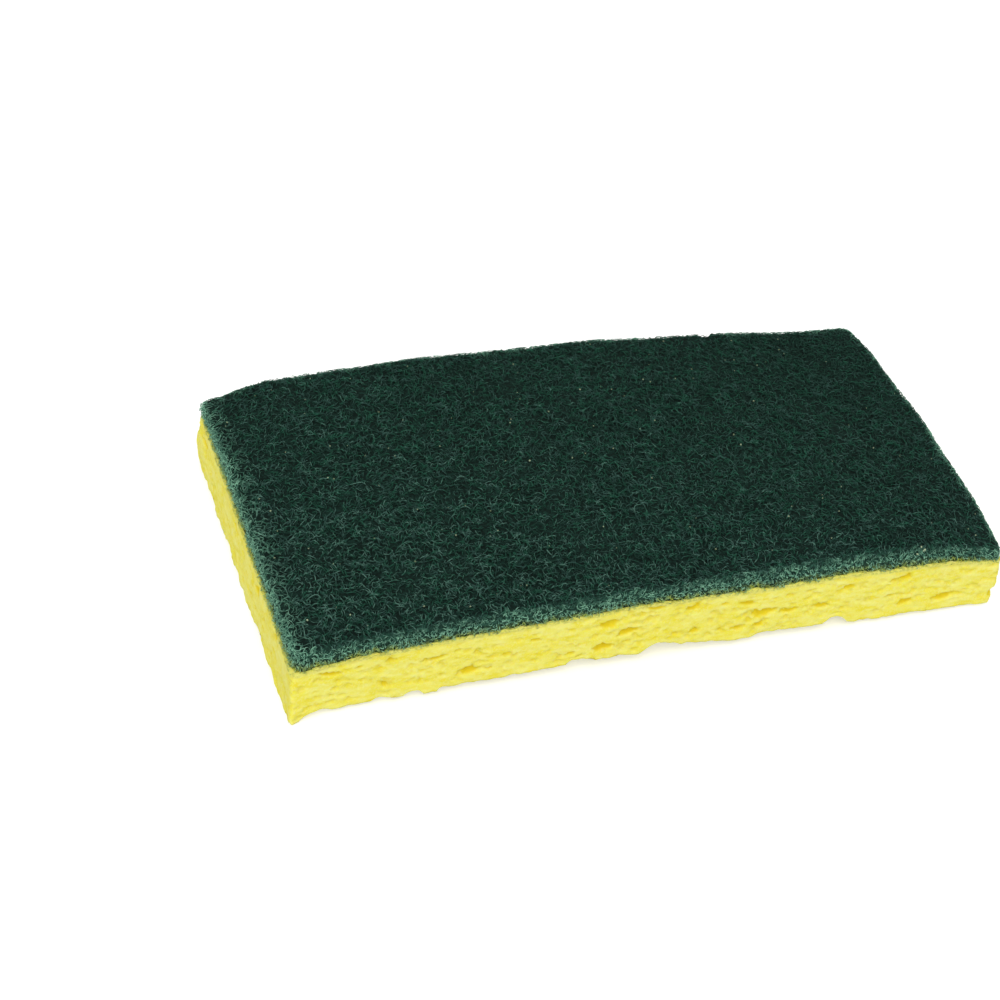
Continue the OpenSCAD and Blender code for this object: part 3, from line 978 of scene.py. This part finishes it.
def fibreMaterial():
    material, tree, start = newMaterial("webFibre")
    place = start.node("ShaderNodeTexCoord", output=3)
    shade = start.node("ShaderNodeAttribute", {"attribute_name": "fibreShade"}, output=2)
    rim = start.node("ShaderNodeAttribute", {"attribute_name": "rimShare"}, output=2)
    patch = noiseWire(start, place, 240.0, 2.0).ramp(0.35, 0.68)
    flick = noiseWire(start, place, 1700.0, 1.0).ramp(0.34, 0.66)    # bright and dull along one fibre
    grey = noiseWire(start, place, 620.0, 1.0).ramp(0.42, 0.58)
    tone = shade * (patch * 0.4 + 0.8) * (flick * 0.65 + 0.62)
    middle = grey.mix(padFinish["fibreMid"], padFinish["fibreGrey"])
    top = tone.ramp(0.05, 0.5).mix(padFinish["fibreDark"], middle)
    top = tone.ramp(0.5, 1.15).mix(top, padFinish["fibreLight"])
    # the rim's colour: partly the paler cut fibre ends, partly painted light where the sides catch the
    # light
    cut = (tone * 0.6 + flick * 0.35).ramp(0.1, 0.8).mix(padFinish["rimDark"], padFinish["rimLight"])
    bond = start.node("ShaderNodeAttribute", {"attribute_name": "bondShare"}, output=2)
    stain = noiseWire(start, place, 900.0, 3.0, 0.65).ramp(0.42, 0.62)
    tinted = (bond.ramp(0.1, 0.9) * (stain * 0.6 + 0.35)).mix(rim.mix(top, cut), padFinish["olive"])
    shader = start.node("ShaderNodeBsdfPrincipled", None, {
        "Base Color": tinted, "Roughness": 0.65, "Specular IOR Level": 0.12})
    start.node("ShaderNodeOutputMaterial", None, {"Surface": shader})
    return material


def speckMaterial():
    material, tree, start = newMaterial("paleSpeck")
    tone = start.node("ShaderNodeAttribute", {"attribute_name": "speckTone"}, output=2)
    shader = start.node("ShaderNodeBsdfPrincipled", None, {
        "Base Color": tone.mix(padFinish["speckDull"], padFinish["speckPale"]),
        "Roughness": 0.8, "Specular IOR Level": 0.2})
    start.node("ShaderNodeOutputMaterial", None, {"Surface": shader})
    return material


studio = {
    "floorTint": 0.86,
    "floorGlow": 0.40,                           # seen by the camera only
    "skyLight": 0.55,
    "sunLight": 1.55,
    "sunSpread": 50,
}


def makeFloor():
    bm = bmesh.new()
    bmesh.ops.create_grid(bm, x_segments=1, y_segments=1, size=3)
    bmesh.ops.translate(bm, verts=bm.verts, vec=(0, 0, -0.00005))
    floor = newObject("tableTop", meshFrom(bm, "tableTop"))
    material, tree, start = newMaterial("paleTable")
    seen = start.node("ShaderNodeLightPath", output=0)
    tint = studio["floorTint"]
    matt = start.node("ShaderNodeBsdfDiffuse", None, {"Color": paint(tint, tint, tint)})
    white = {"Color": paint(1, 1, 1), "Strength": seen * studio["floorGlow"]}
    glow = start.node("ShaderNodeEmission", None, white)
    both = start.node("ShaderNodeAddShader", None, {0: matt, 1: glow})
    start.node("ShaderNodeOutputMaterial", None, {"Surface": both})
    floor.data.materials.append(material)


def makeLight():
    world = bpy.data.worlds.new("studio")
    bpy.context.scene.world = world
    world.use_nodes = True
    tree = world.node_tree
    tree.nodes.clear()
    start = Wire(tree)
    seen = start.node("ShaderNodeLightPath", output=0)
    strength = seen * (1 - studio["skyLight"]) + studio["skyLight"]
    sky = start.node("ShaderNodeBackground", None, {"Color": paint(1, 1, 1), "Strength": strength})
    start.node("ShaderNodeOutputWorld", None, {"Surface": sky})
    lamp = bpy.data.lights.new("windowLight", "SUN")
    lamp.energy = studio["sunLight"]
    lamp.angle = math.radians(studio["sunSpread"])
    sun = newObject("windowLight", lamp)
    sun.rotation_euler = (math.radians(32), math.radians(-18), 0)


photoView = {                                    # found from the edges of the block
    "lens": 76.06,
    "turn": -23.331,
    "rise": 40.153,
    "roll": 7.675,
    "distance": 0.46620,
    "right": -0.020565,
    "up": -0.003127,
    "aimHeight": 0.010,
}


def makeCamera():
    turn, rise, roll = (math.radians(photoView[k]) for k in ("turn", "rise", "roll"))
    back = Vector((math.sin(turn) * math.cos(rise), -math.cos(turn) * math.cos(rise), math.sin(rise)))
    right = Vector((0, 0, 1)).cross(back).normalized()
    up = back.cross(right)
    eye = Vector((0, 0, photoView["aimHeight"])) + back * photoView["distance"]
    eye += right * photoView["right"] + up * photoView["up"]
    acrossFrame = right * math.cos(roll) + up * math.sin(roll)
    upFrame = up * math.cos(roll) - right * math.sin(roll)
    data = bpy.data.cameras.new("photoView")
    data.lens = photoView["lens"]
    data.sensor_width = 36
    data.clip_start = 0.01
    camera = newObject("photoView", data)
    camera.matrix_world = Matrix((acrossFrame, upFrame, back)).transposed().to_4x4()
    camera.location = eye
    bpy.context.scene.camera = camera


makeCamera()
spongeLayer = makeSponge()
spongeLayer.data.materials.append(spongeMaterial())
padCore = makePadBody()
padCore.data.materials.append(padCoreMaterial())
webFibre = fibreMaterial()
for piece in makeWeb():
    piece.data.materials.append(webFibre)
webSpecks = makeSpecks()
webSpecks.data.materials.append(speckMaterial())
makeFloor()
makeLight()
bpy.context.scene.view_settings.view_transform = "Standard"
print("materials, light and camera done")
